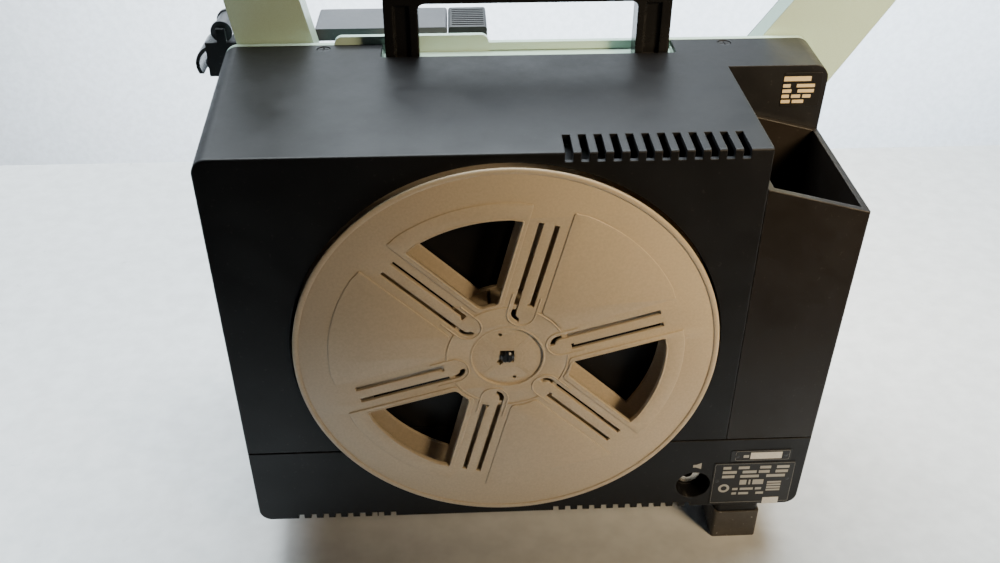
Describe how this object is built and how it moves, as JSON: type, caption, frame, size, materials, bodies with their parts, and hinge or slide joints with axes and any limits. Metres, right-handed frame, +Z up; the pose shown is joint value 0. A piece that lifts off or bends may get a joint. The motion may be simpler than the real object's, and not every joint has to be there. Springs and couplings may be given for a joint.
{
  "type": "film projector",
  "caption": "Portable sixteen-millimetre sound film projector with folding reel arms, carrying handle and a film reel stored in a round well in its rear cover.",
  "frame": {"origin": "on the floor under the middle of the object's box", "axes": "+Z up, +X towards the projector's rear end with the lens looking along -X, +Y towards the operator's side, so the stored reel faces -Y"},
  "size_m": [0.5188, 0.231, 0.5118],
  "materials": {
    "black_casing": "fine-grained satin moulding",
    "pocket_black": "satin moulding",
    "mint_paint": "satin paint over die casting",
    "handle_black": "satin moulding",
    "reel_plastic": "semi-gloss moulding",
    "bright_steel": "turned and plated",
    "dark_steel": "blackened",
    "rubber_black": "matte",
    "foot_alloy": "knurled",
    "grey_panel": "satin dark grey paint",
    "black_plastic": "satin moulding",
    "black_bracket": "semi-gloss black paint",
    "roller_grey": "satin",
    "plate_grey": "satin paint",
    "alloy": "machined",
    "polished_steel": "polished",
    "glass_clear": "coated",
    "lamp_glass": "dichroic reflector",
    "ceramic": "white ceramic",
    "lamp_sheet": "heat-proof black paint",
    "zinc_sheet": "zinc plated",
    "copper_coil": "varnished winding",
    "board_green": "epoxy board",
    "nickel": "nickel plated",
    "label_stock": "printed film",
    "grille_black": "perforated",
    "red_button": "moulded"
  },
  "bodies": {
    "chassis": {"main_casting": "mint_paint", "rear_cover": "black_casing", "base_tray": "black_casing", "cord_pocket": "pocket_black", "ac_inlet": "black_plastic", "top_handle": "handle_black", "handle_screws": "bright_steel", "cover_screws": "dark_steel", "label_plates": "label_stock", "speaker_jack": "nickel", "rear_feet": "rubber_black", "mechanism_plate": "plate_grey", "motor_body": "zinc_sheet", "blower_housing": "zinc_sheet", "drive_belt": "rubber_black", "lens_holder": "black_bracket", "film_gate": "polished_steel", "lamp_house": "lamp_sheet", "projection_lamp": "lamp_glass", "lamp_socket": "ceramic", "exciter_cover": "alloy", "film_channel_cover": "grey_panel", "ribbed_cover": "black_plastic", "guide_bracket": "black_bracket", "control_panel": "grey_panel", "speaker_grille": "grille_black", "speaker": "zinc_sheet", "transformer_core": "zinc_sheet", "transformer_coil": "copper_coil", "amplifier_board": "board_green"},
    "front_arm": {"front_arm": "mint_paint", "front_arm_cover": "black_plastic"},
    "feed_spindle": {"feed_spindle": "bright_steel"},
    "rear_arm": {"rear_arm": "mint_paint", "rear_arm_cover": "black_plastic"},
    "takeup_spindle": {"takeup_spindle": "bright_steel"},
    "storage_spindle": {"storage_spindle": "dark_steel"},
    "reel": {"reel_front_flange": "reel_plastic", "reel_rear_flange": "reel_plastic", "reel_core": "reel_plastic"},
    "drive_shaft": {"main_shaft": "bright_steel", "inching_knob": "black_plastic"},
    "feed_sprocket": {"feed_sprocket": "alloy"},
    "holdback_sprocket": {"holdback_sprocket": "alloy"},
    "shutter": {"barrel_shutter": "dark_steel"},
    "motor_rotor": {"motor_rotor": "bright_steel", "fan_wheel": "black_plastic"},
    "sound_drum": {"sound_drum": "polished_steel"},
    "lens": {"lens_barrel": "alloy", "lens_glass": "glass_clear"},
    "focus_knob": {"focus_knob": "black_plastic"},
    "tone_knob": {"tone_knob": "black_plastic"},
    "volume_knob": {"volume_knob": "black_plastic"},
    "function_knob": {"function_knob": "black_plastic"},
    "lamp_button": {"lamp_button": "red_button"},
    "loop_lever": {"loop_lever": "black_plastic"},
    "lamp_door": {"lamp_door": "lamp_sheet"},
    "elevator_foot": {"elevator_foot": "foot_alloy"},
    "upper_guide_roller": {"upper_guide_roller": "roller_grey"},
    "lower_guide_roller": {"lower_guide_roller": "roller_grey"}
  },
  "joints": [
    {"name": "front_arm_swing", "type": "hinge", "parent": "chassis", "child": "front_arm", "pos_m": [-0.1924, 0.0427, 0.249], "axis": [0, -1, 0], "range_deg": [0, 100]},
    {"name": "feed_spindle_turn", "type": "hinge", "parent": "front_arm", "child": "feed_spindle", "pos_m": [-0.23796, 0.0427, 0.49481], "axis": [0, 1, 0], "continuous": true},
    {"name": "rear_arm_swing", "type": "hinge", "parent": "chassis", "child": "rear_arm", "pos_m": [0.0976, 0.0427, 0.229], "axis": [0, 1, 0], "range_deg": [0, 80]},
    {"name": "takeup_spindle_turn", "type": "hinge", "parent": "rear_arm", "child": "takeup_spindle", "pos_m": [0.2374, 0.0427, 0.43626], "axis": [0, 1, 0], "continuous": true},
    {"name": "storage_spindle_turn", "type": "hinge", "parent": "chassis", "child": "storage_spindle", "pos_m": [-0.0629, -0.1111, 0.1645], "axis": [0, 1, 0], "continuous": true},
    {"name": "reel_slide", "type": "slide", "parent": "storage_spindle", "child": "reel", "axis": [0, -1, 0], "range_m": [0, 0.045]},
    {"name": "main_shaft_turn", "type": "hinge", "parent": "chassis", "child": "drive_shaft", "pos_m": [-0.0374, -0.0111, 0.134], "axis": [0, 1, 0], "continuous": true},
    {"name": "feed_sprocket_turn", "type": "hinge", "parent": "chassis", "child": "feed_sprocket", "pos_m": [-0.1154, 0.0862, 0.24], "axis": [0, 1, 0], "continuous": true},
    {"name": "holdback_sprocket_turn", "type": "hinge", "parent": "chassis", "child": "holdback_sprocket", "pos_m": [-0.1294, 0.0862, 0.118], "axis": [0, 1, 0], "continuous": true},
    {"name": "shutter_turn", "type": "hinge", "parent": "chassis", "child": "shutter", "pos_m": [-0.1374, 0.0862, 0.176], "axis": [0, 1, 0], "continuous": true},
    {"name": "motor_turn", "type": "hinge", "parent": "chassis", "child": "motor_rotor", "pos_m": [0.0166, -0.0111, 0.19], "axis": [0, 1, 0], "continuous": true},
    {"name": "sound_drum_turn", "type": "hinge", "parent": "chassis", "child": "sound_drum", "pos_m": [-0.1034, 0.0862, 0.108], "axis": [0, 1, 0], "continuous": true},
    {"name": "lens_focus", "type": "slide", "parent": "chassis", "child": "lens", "axis": [-1, 0, 0], "range_m": [-0.004, 0.01]},
    {"name": "focus_knob_turn", "type": "hinge", "parent": "chassis", "child": "focus_knob", "pos_m": [-0.1984, 0.0862, 0.14], "axis": [0, 1, 0], "range_deg": [-60, 145]},
    {"name": "tone_knob_turn", "type": "hinge", "parent": "chassis", "child": "tone_knob", "pos_m": [-0.0854, 0.1035, 0.067], "axis": [0, 1, 0], "range_deg": [0, 270]},
    {"name": "volume_knob_turn", "type": "hinge", "parent": "chassis", "child": "volume_knob", "pos_m": [-0.0404, 0.1035, 0.067], "axis": [0, 1, 0], "range_deg": [0, 270]},
    {"name": "function_knob_turn", "type": "hinge", "parent": "chassis", "child": "function_knob", "pos_m": [0.0146, 0.1035, 0.067], "axis": [0, 1, 0], "range_deg": [-60, 120]},
    {"name": "lamp_button_press", "type": "slide", "parent": "chassis", "child": "lamp_button", "axis": [0, -1, 0], "range_m": [0, 0.0025], "stiffness_N_per_m": 300, "springref_m": -0.002},
    {"name": "loop_lever_press", "type": "hinge", "parent": "chassis", "child": "loop_lever", "pos_m": [0.0246, 0.0862, 0.12], "axis": [0, 1, 0], "range_deg": [0, 20], "stiffness_Nm_per_rad": 0.3, "springref_deg": -8.59},
    {"name": "lamp_door_open", "type": "hinge", "parent": "chassis", "child": "lamp_door", "pos_m": [-0.0029, 0.11, 0.176], "axis": [0, 0, -1], "range_deg": [0, 110]},
    {"name": "elevator_foot_screw", "type": "slide", "parent": "chassis", "child": "elevator_foot", "axis": [0, 0, -1], "range_m": [0, 0.02]},
    {"name": "upper_guide_roller_turn", "type": "hinge", "parent": "chassis", "child": "upper_guide_roller", "pos_m": [-0.2394, 0.0862, 0.293], "axis": [0, 1, 0], "continuous": true},
    {"name": "lower_guide_roller_turn", "type": "hinge", "parent": "chassis", "child": "lower_guide_roller", "pos_m": [-0.2454, 0.0862, 0.272], "axis": [0, 1, 0], "continuous": true}
  ],
  "couplings": [
    {"joint": "feed_sprocket_turn", "follows": "main_shaft_turn", "ratio": 0.9286},
    {"joint": "holdback_sprocket_turn", "follows": "main_shaft_turn", "ratio": 0.9286},
    {"joint": "shutter_turn", "follows": "main_shaft_turn", "ratio": 1.3},
    {"joint": "motor_turn", "follows": "main_shaft_turn", "ratio": 3},
    {"joint": "focus_knob_turn", "follows": "lens_focus", "rad_per_m": 250}
  ]
}
